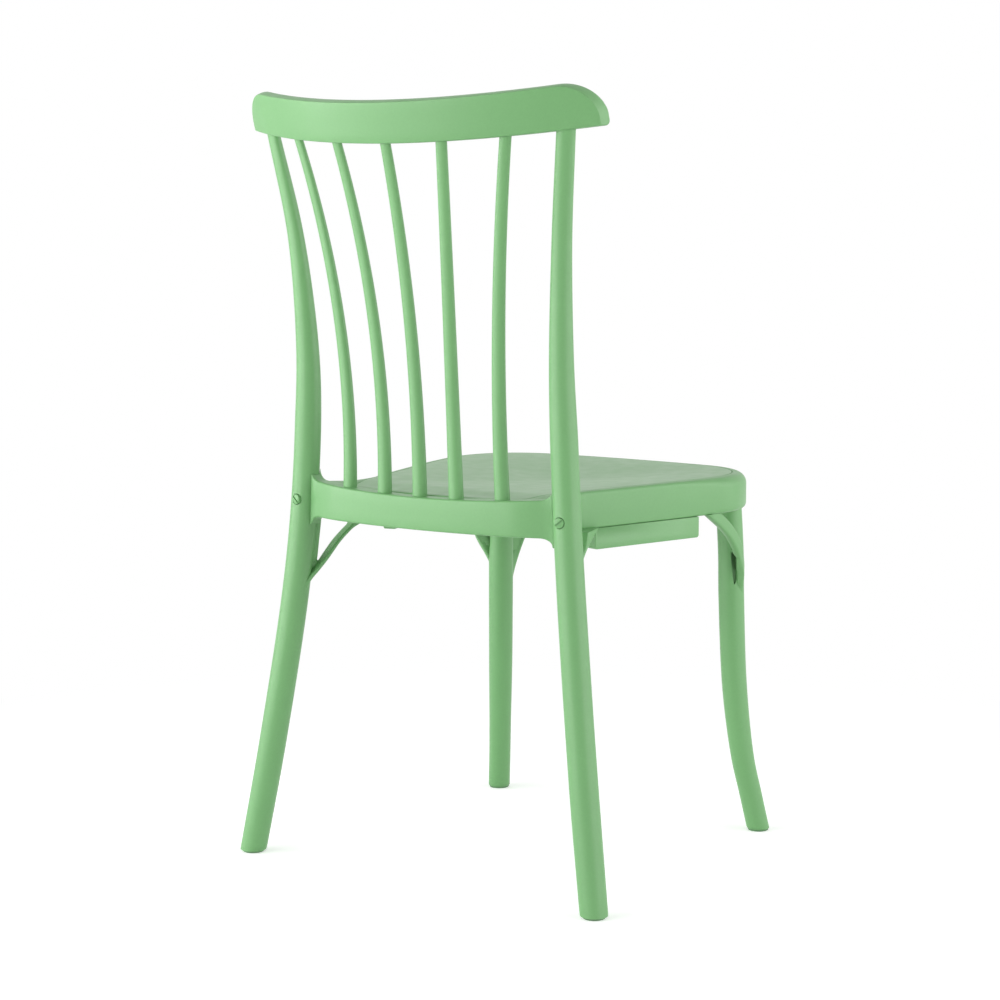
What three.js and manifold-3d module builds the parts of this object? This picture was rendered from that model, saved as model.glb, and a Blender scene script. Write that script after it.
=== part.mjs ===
// Stacking side chair with a five-spindle back, in millimetres.
// The sitter faces -Y, +X is the sitter's left and +Z is up. The origin is on the floor,
// under the middle of the chair. Left and right pieces mirror each other in the plane x = 0.
import * as THREE from 'three';
import { mergeVertices } from 'three/addons/utils/BufferGeometryUtils.js';
import Module from 'manifold-3d';

const wasm = await Module();
wasm.setup();

// ---- Driving dimensions ---------------------------------------------------------------

const GAP = 0.3; // clearance kept between seated pieces

// Seat frame: a flat ring with a rounded top edge and a ledge for the seat panel.
const SEAT_TOP = 433; // highest line of the frame, along the sides and the front
const SEAT_REAR_DROP = 3.5; // the top falls by this much at the back
const SEAT_DROP_START = 110; // y where that fall starts
const SEAT_DROP_END = 158; // y where it is complete
const SEAT_BOTTOM = 391;
const RING_WIDTH = 34; // from the outside to the open middle
const SIDE_EDGE_RADIUS = 4.4; // top edge rounding along the sides
const FRONT_EDGE_RADIUS = 13; // top edge rounding along the front
const EDGE_BLEND_START = -60; // y where the rounding starts to grow
const EDGE_BLEND_END = -180; // y where it is at its largest
const SEAM_MARGIN = 3.6; // flat strip between the rounding and the panel
const LOWER_SIDE_RADIUS = 2.4; // bottom edge rounding along the sides
const LOWER_FRONT_RADIUS = 6.5; // and along the front
const SEAT_CENTRE_Y = -60; // middle from which the frame's insets are measured

// Seat outline, drawn for +X.
const SIDE_POINT = new THREE.Vector2(149.2, 55); // a point on the straight side
const SIDE_SPLAY = 0.268; // widening of the side per millimetre towards the front
const REAR_CORNER_BLEND = 16; // length of each leg of the curve at the rear corners
const CORNER_RADIUS = 95; // front corners in plan
const FRONT_Y = -258; // foremost point of the seat
const FRONT_BOW_RADIUS = 1270;

// Ears: the frame's rear corners reach out to the rear legs.
const EAR_START_Y = 71; // where an ear leaves the straight side
const EAR_CURVE = new THREE.Vector2(136.6, 100.4); // corner of the curve between side and ear
const EAR_FLARE = new THREE.Vector2(159.7, 119.2); // end of that curve
const EAR_TIP = new THREE.Vector2(176, 132.4);
const EAR_TOP = 429.8;

// Seat panel: a dished sheet let into the frame.
const PANEL_THICKNESS = 7.6;
const PANEL_DISH = 8;
const PANEL_SEAM = 0.7; // open seam round the panel

// Back: the plan curves of the crest rail and of the rear rail.
const CREST_RADIUS = 404; // middle line of the crest, at the height CREST_DATUM_Z
const CREST_DATUM_Z = 821.5;
const CREST_APEX_Y = 240.5;
const CREST_LEAN = 0.25; // backward slope of the crest's faces
const CREST_THICKNESS = 17;
const CREST_TOP_Z = 858; // at the middle
const CREST_TOP_SMILE_RADIUS = 1345;
const CREST_UNDERSIDE_Z = 812; // at the middle
const CREST_SMILE_RADIUS = 1575; // upward curve of the lower edge
const CREST_HALF_WIDTH = 234.5;
const CREST_CORNER_RADIUS = 38;
const CREST_EDGE_RADIUS = 2.6;
const CREST_TOP_BACK_RADIUS = 7.5; // the larger rounding along the top of the back face

const RAIL_RADIUS = 620;
const RAIL_APEX_Y = 182.8;
const RAIL_FRONT_OFFSET = -11.5; // faces, measured from the middle line
const RAIL_BACK_OFFSET = 9.5;
const RAIL_BACK_OFFSET_AT_LEGS = 5.5;
const RAIL_TAPER_START = 118;
const RAIL_TAPER_END = 164;
const RAIL_BOTTOM = 392.6;
const RAIL_TOP = 429;
const RAIL_TOP_RISE_RADIUS = 2450; // the top edge rises slightly towards the legs
const RAIL_HALF_WIDTH = 178; // to the middle of the rear legs' thickness
const RAIL_FLARE_START = 152; // the rail flares up and down beyond this
const RAIL_FLARE_UP = 12;
const RAIL_FLARE_DOWN = 10;
const RAIL_FLARE_LENGTH = 15;
const RAIL_EDGE_RADIUS = 2.4;

// Rear leg and post in one length: x, y, z, then half widths across and front to back.
const REAR_LEG_STATIONS = [
  [238.6, 190.2, -3.2, 15.4, 15.4],
  [217.2, 178.2, 127, 15.9, 15.9],
  [193.3, 164.2, 297, 15.7, 15.7],
  [183.0, 159.4, 397, 15.4, 15.4],
  [176.6, 158.0, 498, 15.1, 15.1],
  [174.4, 160.2, 583, 13.4, 13.0],
  [181.4, 170.4, 710, 11.0, 9.0],
  [198.6, 188.4, 829, 10.2, 6.6],
];
const FRONT_LEG_STATIONS = [
  [192.3, -240.0, -3.2, 13.7, 13.7],
  [185.4, -231.8, 42, 13.7, 13.7],
  [179.1, -223.7, 85, 13.9, 13.9],
  [172.1, -215.0, 170, 14.9, 14.9],
  [168.6, -210.6, 280, 15.3, 15.3],
  [167.5, -209.6, SEAT_BOTTOM - GAP, 15.3, 15.3],
];
const LEG_SIDES = 16;
const REAR_LEG_STEPS = 16;
const FRONT_LEG_STEPS = 10;
const LEG_TENON_RADIUS = 10;
const LEG_TENON_TOP = 414;

// Spindles for +X, from the middle outwards: where each stands on the rear rail, where it
// ends in the crest, and the push of its middle control point (sideways, back).
const SPINDLES = [
  { foot: [0, 179.4], head: [0, 241.2], bow: [0, 3.5] },
  { foot: [49.4, 178.9], head: [71.8, 235.3], bow: [-6, 3.4] },
  { foot: [105.4, 170.7], head: [141, 215], bow: [-9.7, 3.7] },
];
const SPINDLE_FOOT_Z = 426;
const SPINDLE_HEAD_Z = 824;
const SPINDLE_FOOT_HALF = [8.7, 7.3]; // half widths across the back and through it
const SPINDLE_HEAD_HALF = [6.5, 4.1];
const SPINDLE_SIDES = 10;
const SPINDLE_TENON_RADIUS = 3.4;
const POST_TENON_RADIUS = 4.2;
const TENON_LENGTH = 13;
const TENON_ROOT = 20; // length of each tenon that is inside its own piece

// Curved braces between the legs and the underside of the seat. Points are two level
// distances from the leg's axis, and the height.
const REAR_BRACE_AXIS = new THREE.Vector2(189.2, 161.9);
const REAR_BRACE_POINTS = [ // inwards, forwards, height
  [6, -4, 298], [9.5, -2, 309], [12.7, 2.7, 319.2], [14.9, 12.7, 329.2], [16.9, 22.6, 339.2],
  [18.8, 32.2, 349.2], [20.8, 42.2, 359.3], [23.9, 54.2, 369.5], [25.8, 61.4, 374.8],
  [28.2, 70.8, 380], [31.5, 81.2, 385], [36, 95, 390.2], [40.5, 109, 395],
];
const REAR_BRACE_ARM_POINTS = [ // its upright arm, against the front of the leg
  [9.5, 18, 333], [7.6, 18.4, 344], [8.6, 18.4, 355], [10.8, 18.8, 370], [13.5, 20, 398],
];
const REAR_BRACE_SIZE = [9, 7]; // width of the band and its level thickness
const REAR_BRACE_ARM_SIZE = [7, 14];
const FRONT_LEG_TOP = new THREE.Vector2(167.5, -209.6);
const SIDE_BRACE_POINTS = [ // outwards, backwards, height
  [4, -6, 270], [9, -4, 284], [12.8, 0, 297], [16.9, 5.1, 309.6], [19.8, 9.8, 318.5],
  [22, 17, 331], [22.8, 26, 346], [23.3, 42, 363], [23.5, 60, 376], [23.5, 78, 386.5], [23.5, 98, 398],
];
const FRONT_BRACE_POINTS = [ // inwards, forwards, height
  [0, 5, 254], [1, 14, 274], [1.5, 20, 290], [3.5, 25.5, 306], [8.5, 31, 325], [16.5, 35, 343],
  [28, 37, 357], [43, 38, 369], [58, 38.5, 379], [74, 38.5, 388], [90, 38.5, 398],
];
const FRONT_BRACE_SIZE = [12, 8.5];
const BRACE_EDGE_RADIUS = 2.8;

// Stacking rails: planks under the seat sides, on which a stacked chair rides.
const STACKING_RAIL_START = 0; // from the side point, forwards along the side
const STACKING_RAIL_LENGTH = 159;
const STACKING_RAIL_HEIGHT = 23.6;
const STACKING_RAIL_THICKNESS = 14;

// Screw through each rear leg into the seat frame.
const SCREW_HEAD = new THREE.Vector3(181.5, 175, 412);
const SCREW_AIM = new THREE.Vector3(170.5, 128, 412);
const SCREW_LENGTH = 62;
const SCREW_HEAD_RADIUS = 5.3;
const SCREW_HEAD_LENGTH = 4;
const SCREW_RADIUS = 2.8;
const SLOT_WIDTH = 1.5;
const SLOT_DEPTH = 1.6;
const SLOT_TILT = THREE.MathUtils.degToRad(-38); // from level, seen from behind
const ROUND_SIDES = 16;

// Glides under the feet.
const FLOOR_Z = -5.2; // the leg ends stand clear of the floor by the glides' height
const GLIDE_RADIUS = 12.4;
const GLIDE_HEIGHT = 1.7;
const GLIDE_STEM_RADIUS = 2.5;
const GLIDE_STEM_TOP = 15;
const RAIL_DOWEL_RADIUS = 3.5;
const RAIL_DOWEL_HEIGHTS = [402, 422];

// ---- Materials ------------------------------------------------------------------------

const green = new THREE.MeshStandardMaterial({ color: 0x9bcb96, roughness: 0.45, metalness: 0 });
const seatGreen = new THREE.MeshStandardMaterial({ color: 0xa0bfa2, roughness: 0.5, metalness: 0 });
const paintedSteel = new THREE.MeshStandardMaterial({ color: 0x93c48e, roughness: 0.4, metalness: 0.2 });
const glidePlastic = new THREE.MeshStandardMaterial({ color: 0x6f9a6c, roughness: 0.6, metalness: 0 });

// ---- Solids and geometries ------------------------------------------------------------

function toSolid(geometry) {
  const bare = geometry.clone();
  bare.deleteAttribute('normal');
  bare.deleteAttribute('uv');
  const merged = mergeVertices(bare, 1e-4);
  return new wasm.Manifold(new wasm.Mesh({
    numProp: 3,
    vertProperties: new Float32Array(merged.attributes.position.array),
    triVerts: new Uint32Array(merged.index.array),
  }));
}

function toGeometry(solid) {
  const mesh = solid.getMesh();
  const geometry = new THREE.BufferGeometry();
  geometry.setAttribute('position', new THREE.BufferAttribute(mesh.vertProperties, 3));
  geometry.setIndex(new THREE.BufferAttribute(mesh.triVerts, 1));
  geometry.computeVertexNormals();
  return geometry;
}

function enclosedVolume(points, indices) {
  let volume = 0;
  for (let i = 0; i < indices.length; i += 3) {
    const [a, b, c] = [points[indices[i]], points[indices[i + 1]], points[indices[i + 2]]];
    volume += a.dot(b.clone().cross(c)) / 6;
  }
  return volume;
}

// Skins a row of rings that have the same number of points. The ends are closed with flat
// fans, or joined to each other when the rings go all the way round (closed).
function loft(rings, closed = false) {
  const points = rings.flat();
  const count = rings[0].length;
  const indices = [];
  const steps = closed ? rings.length : rings.length - 1;
  for (let r = 0; r < steps; r++) {
    const here = r * count;
    const next = ((r + 1) % rings.length) * count;
    for (let i = 0; i < count; i++) {
      const j = (i + 1) % count;
      indices.push(here + i, here + j, next + j, here + i, next + j, next + i);
    }
  }
  if (!closed) {
    for (const [ring, start, flip] of [[rings[0], 0, true], [rings.at(-1), points.length - count, false]]) {
      const middle = new THREE.Vector3();
      ring.forEach((p) => middle.addScaledVector(p, 1 / count));
      const hub = points.push(middle) - 1;
      for (let i = 0; i < count; i++) {
        const j = (i + 1) % count;
        indices.push(hub, start + (flip ? j : i), start + (flip ? i : j));
      }
    }
  }
  if (enclosedVolume(points, indices) < 0) indices.reverse();
  const geometry = new THREE.BufferGeometry().setFromPoints(points);
  geometry.setIndex(indices);
  return geometry;
}

// A closed outline of a rectangle with rounded corners, as [across, up] pairs. The corner at
// the top right may have a radius of its own.
function roundedRectangle(left, right, bottom, top, radius, cornerSteps = 3, topRight = radius) {
  const limit = Math.min(right - left, top - bottom) / 2.01;
  const small = Math.min(radius, limit);
  const large = Math.min(topRight, limit);
  const corners = [
    [right - small, bottom + small, -90, small],
    [right - large, top - large, 0, large],
    [left + small, top - small, 90, small],
    [left + small, bottom + small, 180, small],
  ];
  return corners.flatMap(([x, y, start, r]) => Array.from({ length: cornerSteps + 1 }, (_, k) => {
    const angle = THREE.MathUtils.degToRad(start + (90 * k) / cornerSteps);
    return [x + r * Math.cos(angle), y + r * Math.sin(angle)];
  }));
}

// A cylinder from one point to another.
function rod(from, to, radius, sides = ROUND_SIDES) {
  const axis = to.clone().sub(from);
  const geometry = new THREE.CylinderGeometry(radius, radius, axis.length(), sides);
  const turn = new THREE.Quaternion().setFromUnitVectors(
    new THREE.Vector3(0, 1, 0), axis.clone().normalize(),
  );
  geometry.applyQuaternion(turn);
  geometry.translate(...from.clone().add(to).multiplyScalar(0.5).toArray());
  return toSolid(geometry);
}

function mirrorX(solid) {
  return solid.mirror([1, 0, 0]);
}

const point = (x, y, z) => new THREE.Vector3(x, y, z);
const { smoothstep, lerp } = THREE.MathUtils;

// ---- Slender round members ------------------------------------------------------------

// Angle of the back's plan curve at x, so that oval sections lie along it.
const backAngle = (x) => -Math.asin(x / CREST_RADIUS);

// An upright member with level oval sections along a path.
function uprightMember(path, halfWidths, sides, steps) {
  const rings = [];
  for (let s = 0; s <= steps; s++) {
    const t = s / steps;
    const centre = path(t);
    const [across, through] = halfWidths(t);
    const turn = backAngle(centre.x);
    rings.push(Array.from({ length: sides }, (_, i) => {
      const angle = (2 * Math.PI * i) / sides;
      const u = across * Math.cos(angle);
      const v = through * Math.sin(angle);
      return point(
        centre.x + u * Math.cos(turn) - v * Math.sin(turn),
        centre.y + u * Math.sin(turn) + v * Math.cos(turn),
        centre.z,
      );
    }));
  }
  return toSolid(loft(rings));
}

// A leg through its stations: smooth curves for the centre line and for the half widths.
function legCurves(stations) {
  const centres = new THREE.CatmullRomCurve3(stations.map(([x, y, z]) => point(x, y, z)));
  const widths = new THREE.CatmullRomCurve3(stations.map(([, , , a, b]) => point(a, b, 0)));
  return {
    path: (t) => centres.getPoint(t),
    halfWidths: (t) => widths.getPoint(t).toArray().slice(0, 2),
    tangent: (t) => centres.getTangent(t),
  };
}

// A tenon on a member's end: it starts inside the member and runs on along the end's direction.
function tenon(end, direction, radius, extra = 0) {
  const start = end.clone().addScaledVector(direction, -TENON_ROOT - extra);
  const stop = end.clone().addScaledVector(direction, TENON_LENGTH + extra);
  return rod(start, stop, radius + extra, 12);
}

// ---- Crest rail -----------------------------------------------------------------------

const crestUnderside = (x) => CREST_UNDERSIDE_Z + (x * x) / (2 * CREST_SMILE_RADIUS);

function crestPointY(x, z, offset) {
  const radius = CREST_RADIUS + CREST_LEAN * (z - CREST_DATUM_Z) + offset;
  return CREST_APEX_Y - CREST_RADIUS + Math.sqrt(radius * radius - x * x);
}

// The crest is bent in plan, leans back and is cut to a front outline with round top corners.
function crestBlank() {
  const straight = CREST_HALF_WIDTH - CREST_CORNER_RADIUS;
  const stations = [];
  const middleSteps = 9;
  for (let s = 0; s <= middleSteps; s++) stations.push([(straight * s) / middleSteps, 0]);
  for (const degrees of [20, 40, 55, 68, 79, 90]) {
    const angle = THREE.MathUtils.degToRad(degrees);
    stations.push([
      straight + CREST_CORNER_RADIUS * Math.sin(angle),
      CREST_CORNER_RADIUS * (1 - Math.cos(angle)),
    ]);
  }
  const half = CREST_THICKNESS / 2;
  const ring = (x, cut) => {
    const bottom = crestUnderside(x);
    const top = CREST_TOP_Z + (x * x) / (2 * CREST_TOP_SMILE_RADIUS) - cut;
    return roundedRectangle(-half, half, bottom, top, CREST_EDGE_RADIUS, 3, CREST_TOP_BACK_RADIUS)
      .map(([offset, z]) => point(x, crestPointY(x, z, offset), z));
  };
  const right = stations.slice(1).reverse().map(([x, cut]) => ring(-x, cut));
  const left = stations.map(([x, cut]) => ring(x, cut));
  return toSolid(loft([...right, ...left]));
}

// ---- Rear rail ------------------------------------------------------------------------

// The rear rail is bent in plan and flares up and down where it meets the rear legs. A rail
// grown by extra on all sides serves for cutting its neighbours.
function railBlank(extra = 0) {
  const stations = [];
  const middleSteps = 7;
  for (let s = 0; s <= middleSteps; s++) stations.push((RAIL_FLARE_START * s) / middleSteps);
  for (const share of [0.25, 0.45, 0.62, 0.76, 0.88, 0.96, 1]) {
    stations.push(RAIL_FLARE_START + share * RAIL_FLARE_LENGTH);
  }
  stations.push(RAIL_HALF_WIDTH + extra);
  const flare = (x, size) => {
    const into = Math.min(Math.max((Math.abs(x) - RAIL_FLARE_START) / RAIL_FLARE_LENGTH, 0), 1);
    return size * (1 - Math.sqrt(1 - into * into));
  };
  const ring = (x) => {
    const taper = smoothstep(Math.abs(x), RAIL_TAPER_START, RAIL_TAPER_END);
    const face = RAIL_FRONT_OFFSET - extra;
    const back = lerp(RAIL_BACK_OFFSET, RAIL_BACK_OFFSET_AT_LEGS, taper) + extra;
    const top = RAIL_TOP + (x * x) / (2 * RAIL_TOP_RISE_RADIUS) + flare(x, RAIL_FLARE_UP) + extra;
    const bottom = RAIL_BOTTOM - flare(x, RAIL_FLARE_DOWN) - extra;
    return roundedRectangle(face, back, bottom, top, RAIL_EDGE_RADIUS + extra).map(([offset, z]) => {
      const radius = RAIL_RADIUS + offset;
      return point(x, RAIL_APEX_Y - RAIL_RADIUS + Math.sqrt(radius * radius - x * x), z);
    });
  };
  const right = stations.slice(1).reverse().map((x) => ring(-x));
  const left = stations.map((x) => ring(x));
  return toSolid(loft([...right, ...left]));
}

// ---- Spindles -------------------------------------------------------------------------

// Each spindle is a parabola that stands nearly upright on the rail and leans back at the top.
function spindleParts({ foot, head, bow }, side) {
  const start = point(side * foot[0], foot[1], SPINDLE_FOOT_Z);
  const end = point(side * head[0], head[1], SPINDLE_HEAD_Z);
  const control = point(
    start.x + side * bow[0], start.y + bow[1], (SPINDLE_FOOT_Z + SPINDLE_HEAD_Z) / 2,
  );
  const curve = new THREE.QuadraticBezierCurve3(start, control, end);
  const body = uprightMember(
    (t) => curve.getPoint(t),
    (t) => [0, 1].map((k) => lerp(SPINDLE_FOOT_HALF[k], SPINDLE_HEAD_HALF[k], t ** 0.8)),
    SPINDLE_SIDES,
    8,
  );
  const tops = [end, curve.getTangent(1), SPINDLE_TENON_RADIUS];
  const feet = [start, curve.getTangent(0).negate(), SPINDLE_TENON_RADIUS];
  return { body, tops, feet };
}

// ---- Seat frame and panel -------------------------------------------------------------

const seatTopAt = (y) => SEAT_TOP - SEAT_REAR_DROP * smoothstep(y, SEAT_DROP_START, SEAT_DROP_END);

const frontShare = (y) => 1 - smoothstep(y, EDGE_BLEND_END, EDGE_BLEND_START);
const edgeRadiusAt = (y) => lerp(SIDE_EDGE_RADIUS, FRONT_EDGE_RADIUS, frontShare(y));
const lowerRadiusAt = (y) => lerp(LOWER_SIDE_RADIUS, LOWER_FRONT_RADIUS, frontShare(y));

function arcPoints(centre, radius, from, to, steps) {
  return Array.from({ length: steps + 1 }, (_, k) => {
    const angle = lerp(from, to, k / steps);
    return new THREE.Vector2(
      centre.x + radius * Math.cos(angle), centre.y + radius * Math.sin(angle),
    );
  });
}

const sideX = (y) => SIDE_POINT.x + SIDE_SPLAY * (SIDE_POINT.y - y);
const railFrontRadius = RAIL_RADIUS + RAIL_FRONT_OFFSET - GAP;
const railFrontY = (x) => RAIL_APEX_Y - RAIL_RADIUS + Math.sqrt(railFrontRadius ** 2 - x * x);

// Half of the seat outline, from the middle of the back to the middle of the front.
function halfOutline() {
  const side = new THREE.Vector2(SIDE_SPLAY, -1).normalize();
  const rearX = sideX(railFrontY(sideX(RAIL_APEX_Y)));
  const rearCorner = new THREE.Vector2(rearX, railFrontY(rearX));
  const rearEnd = rearX - REAR_CORNER_BLEND;
  const rear = [0, 1, 2, 3, 4, 5].map((k) => new THREE.Vector2(
    (rearEnd * k) / 5, railFrontY((rearEnd * k) / 5),
  ));
  const rearCurve = new THREE.QuadraticBezierCurve(
    rear.at(-1), rearCorner, rearCorner.clone().addScaledVector(side, REAR_CORNER_BLEND),
  ).getPoints(4);

  // The corner arc touches the side line and the bowed front.
  const outward = new THREE.Vector2(1, SIDE_SPLAY).normalize();
  const frontCentre = new THREE.Vector2(0, FRONT_Y + FRONT_BOW_RADIUS);
  const inset = SIDE_POINT.clone().addScaledVector(outward, -CORNER_RADIUS);
  const offset = inset.clone().sub(frontCentre);
  const along = offset.dot(side);
  const reach = FRONT_BOW_RADIUS - CORNER_RADIUS;
  const travel = -along + Math.sqrt(along * along - offset.lengthSq() + reach * reach);
  const cornerCentre = inset.clone().addScaledVector(side, travel);
  const cornerEnd = cornerCentre.clone().sub(frontCentre).angle() - 2 * Math.PI;
  const corner = arcPoints(cornerCentre, CORNER_RADIUS, outward.angle(), cornerEnd, 8);
  const front = arcPoints(frontCentre, FRONT_BOW_RADIUS, cornerEnd, -Math.PI / 2, 4);

  const straight = [1, 2, 3].map((k) => rearCurve.at(-1).clone().lerp(corner[0], k / 4));
  return [...rear, ...rearCurve.slice(1), ...straight, ...corner, ...front.slice(1)];
}

// The whole outline, anticlockwise or clockwise without repeated points.
function seatOutline() {
  const half = halfOutline();
  const mirrored = half.slice(1, -1).reverse().map((p) => new THREE.Vector2(-p.x, p.y));
  return [...half, ...mirrored];
}

// Moves an outline point towards the middle of the seat.
function insetPoint(p, distance) {
  const middle = new THREE.Vector2(0, SEAT_CENTRE_Y);
  const outwards = p.clone().sub(middle);
  return middle.addScaledVector(outwards, 1 - distance / outwards.length());
}

const seamInset = (y) => edgeRadiusAt(y) + SEAM_MARGIN;
const LEDGE_DEPTH = PANEL_THICKNESS + 3 * GAP;

// The ring's section, walked once round: [inset from the outline, height] at outline height y.
function ringSection(y) {
  const top = seatTopAt(y);
  const radius = edgeRadiusAt(y);
  const lower = lowerRadiusAt(y);
  const rounding = [0, 30, 60, 90].map((degrees) => {
    const angle = THREE.MathUtils.degToRad(degrees);
    return [radius * (1 - Math.cos(angle)), top - radius * (1 - Math.sin(angle))];
  });
  return [
    [RING_WIDTH, SEAT_BOTTOM],
    [lower, SEAT_BOTTOM],
    [lower * 0.3, SEAT_BOTTOM + lower * 0.3],
    [0, SEAT_BOTTOM + lower],
    ...rounding,
    [seamInset(y), top],
    [seamInset(y), top - LEDGE_DEPTH],
    [RING_WIDTH, top - LEDGE_DEPTH],
  ];
}

function seatRing() {
  const outline = seatOutline();
  const sections = outline.map((p) => ringSection(p.y).map(([inset, z]) => {
    const q = insetPoint(p, inset);
    return point(q.x, q.y, z);
  }));
  return toSolid(loft(sections, true));
}

// A rear corner of the frame that fills the room between the side, the rail and the rear leg.
function seatEar() {
  const shape = new THREE.Shape();
  shape.moveTo(sideX(EAR_START_Y) - 14, EAR_START_Y);
  shape.lineTo(sideX(EAR_START_Y) - 0.4, EAR_START_Y);
  shape.quadraticCurveTo(EAR_CURVE.x, EAR_CURVE.y, EAR_FLARE.x, EAR_FLARE.y);
  shape.lineTo(EAR_TIP.x, EAR_TIP.y);
  shape.quadraticCurveTo(EAR_TIP.x + 4.5, EAR_TIP.y + 4, EAR_TIP.x + 4, railFrontY(EAR_TIP.x + 4));
  for (let x = EAR_TIP.x - 4; x > 112; x -= 15) shape.lineTo(x, railFrontY(x));
  shape.lineTo(112, 135);
  const bevel = LOWER_SIDE_RADIUS;
  const geometry = new THREE.ExtrudeGeometry(shape, {
    depth: EAR_TOP - SEAT_BOTTOM - 2 * bevel,
    bevelThickness: bevel,
    bevelSize: bevel,
    bevelOffset: -bevel,
    bevelSegments: 2,
    curveSegments: 6,
  });
  geometry.translate(0, 0, SEAT_BOTTOM + bevel);
  return toSolid(geometry);
}

// The room inside the frame's seam, which the ears must leave free.
function panelRoom() {
  const outline = seatOutline().map((p) => insetPoint(p, seamInset(p.y)));
  const ring = (z) => outline.map((p) => point(p.x, p.y, z));
  return toSolid(loft([ring(SEAT_TOP - 20), ring(SEAT_TOP + 5)]));
}

// The panel follows the frame's top and is dished in the middle.
function seatPanel() {
  const outline = seatOutline().map((p) => insetPoint(p, seamInset(p.y) + PANEL_SEAM));
  const middle = new THREE.Vector2(0, SEAT_CENTRE_Y);
  const ring = (share, drop) => outline.map((p) => {
    const q = middle.clone().lerp(p, share);
    const dish = 0.5 * PANEL_DISH * (1 + Math.cos(Math.PI * share));
    return point(q.x, q.y, seatTopAt(q.y) - dish - drop);
  });
  const shares = [0.12, 0.36, 0.6, 0.82];
  return toSolid(loft([
    ...shares.map((share) => ring(share, PANEL_THICKNESS)),
    ring(1, PANEL_THICKNESS),
    ring(1, 0.9),
    ring(0.994, 0),
    ...shares.reverse().map((share) => ring(share, 0)),
  ]));
}

// ---- Braces and stacking rails --------------------------------------------------------

// A band of constant width bent along a smooth path, with its thickness kept level. The path's
// points are distances (across, along) from an axis and heights.
function braceBand(axis, acrossSign, alongSign, points, [width, thickness], steps) {
  const curve = new THREE.CatmullRomCurve3(points.map(([across, along, z]) => (
    point(axis.x + acrossSign * across, axis.y + alongSign * along, z)
  )));
  const outline = roundedRectangle(
    -width / 2, width / 2, -thickness / 2, thickness / 2, BRACE_EDGE_RADIUS, 2,
  );
  const up = point(0, 0, 1);
  const rings = [];
  for (let s = 0; s <= steps; s++) {
    const centre = curve.getPoint(s / steps);
    const tangent = curve.getTangent(s / steps);
    const level = tangent.clone().cross(up).normalize();
    const upper = level.clone().cross(tangent).normalize();
    rings.push(outline.map(([u, v]) => (
      centre.clone().addScaledVector(upper, u).addScaledVector(level, v)
    )));
  }
  return toSolid(loft(rings));
}

// A plank with rounded lower corners, flush under the side of the seat frame.
function stackingRail() {
  const length = STACKING_RAIL_LENGTH;
  const top = SEAT_BOTTOM - GAP;
  const bottom = top - STACKING_RAIL_HEIGHT;
  const outline = roundedRectangle(0, length, bottom, top, 3).map(([u, v]) => new THREE.Vector2(u, v));
  const geometry = new THREE.ExtrudeGeometry(new THREE.Shape(outline), {
    depth: STACKING_RAIL_THICKNESS - 2,
    bevelThickness: 1,
    bevelSize: 1,
    bevelOffset: -1,
    bevelSegments: 1,
  });
  geometry.translate(0, 0, 1);
  const forwards = point(SIDE_SPLAY, -1, 0).normalize();
  const up = point(0, 0, 1);
  const inwards = forwards.clone().cross(up).normalize();
  geometry.applyMatrix4(new THREE.Matrix4().makeBasis(forwards, up, inwards));
  const start = point(SIDE_POINT.x, SIDE_POINT.y, 0)
    .addScaledVector(forwards, STACKING_RAIL_START);
  geometry.translate(...start.toArray());
  return toSolid(geometry);
}

// ---- Fasteners and glides -------------------------------------------------------------

const screwAxis = SCREW_AIM.clone().sub(SCREW_HEAD).normalize();
const alongScrew = (distance) => SCREW_HEAD.clone().addScaledVector(screwAxis, distance);

// A slotted screw whose flat head is let into the back of the leg.
function frameScrew() {
  const slot = new THREE.BoxGeometry(4 * SCREW_HEAD_RADIUS, 2 * SLOT_DEPTH, SLOT_WIDTH);
  slot.rotateY(SLOT_TILT);
  slot.applyQuaternion(new THREE.Quaternion().setFromUnitVectors(point(0, -1, 0), screwAxis));
  slot.translate(...SCREW_HEAD.toArray());
  return rod(alongScrew(0), alongScrew(SCREW_HEAD_LENGTH), SCREW_HEAD_RADIUS)
    .add(rod(alongScrew(1), alongScrew(SCREW_LENGTH), SCREW_RADIUS, 14))
    .subtract(toSolid(slot));
}

// The room that a screw takes up in the leg and in the seat frame.
function screwRoom() {
  return rod(alongScrew(-6), alongScrew(SCREW_HEAD_LENGTH + GAP), SCREW_HEAD_RADIUS + GAP)
    .add(rod(alongScrew(0), alongScrew(SCREW_LENGTH + GAP), SCREW_RADIUS + GAP, 14));
}

// A nail-on glide: a disc with a chamfered rim and a stem that goes up into the leg.
function footGlide(x, y) {
  const profile = [
    [0, 0], [GLIDE_RADIUS - 0.8, 0], [GLIDE_RADIUS, 0.8], [GLIDE_RADIUS, GLIDE_HEIGHT],
    [GLIDE_STEM_RADIUS, GLIDE_HEIGHT], [GLIDE_STEM_RADIUS, GLIDE_STEM_TOP - 3], [0, GLIDE_STEM_TOP],
  ].map(([r, z]) => new THREE.Vector2(r, z));
  const geometry = new THREE.LatheGeometry(profile, 12);
  geometry.rotateX(Math.PI / 2);
  geometry.translate(x, y, FLOOR_Z);
  return toSolid(geometry);
}

// ---- Fitting the pieces together ------------------------------------------------------

const pieces = new Map();
const material = new Map();

function addPiece(name, solid, surface) {
  pieces.set(name, solid);
  material.set(name, surface);
}

function addPair(name, solid, surface) {
  addPiece(`${name}_left`, solid, surface);
  addPiece(`${name}_right`, mirrorX(solid), surface);
}

const bothSides = (solid) => solid.add(mirrorX(solid));

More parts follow.
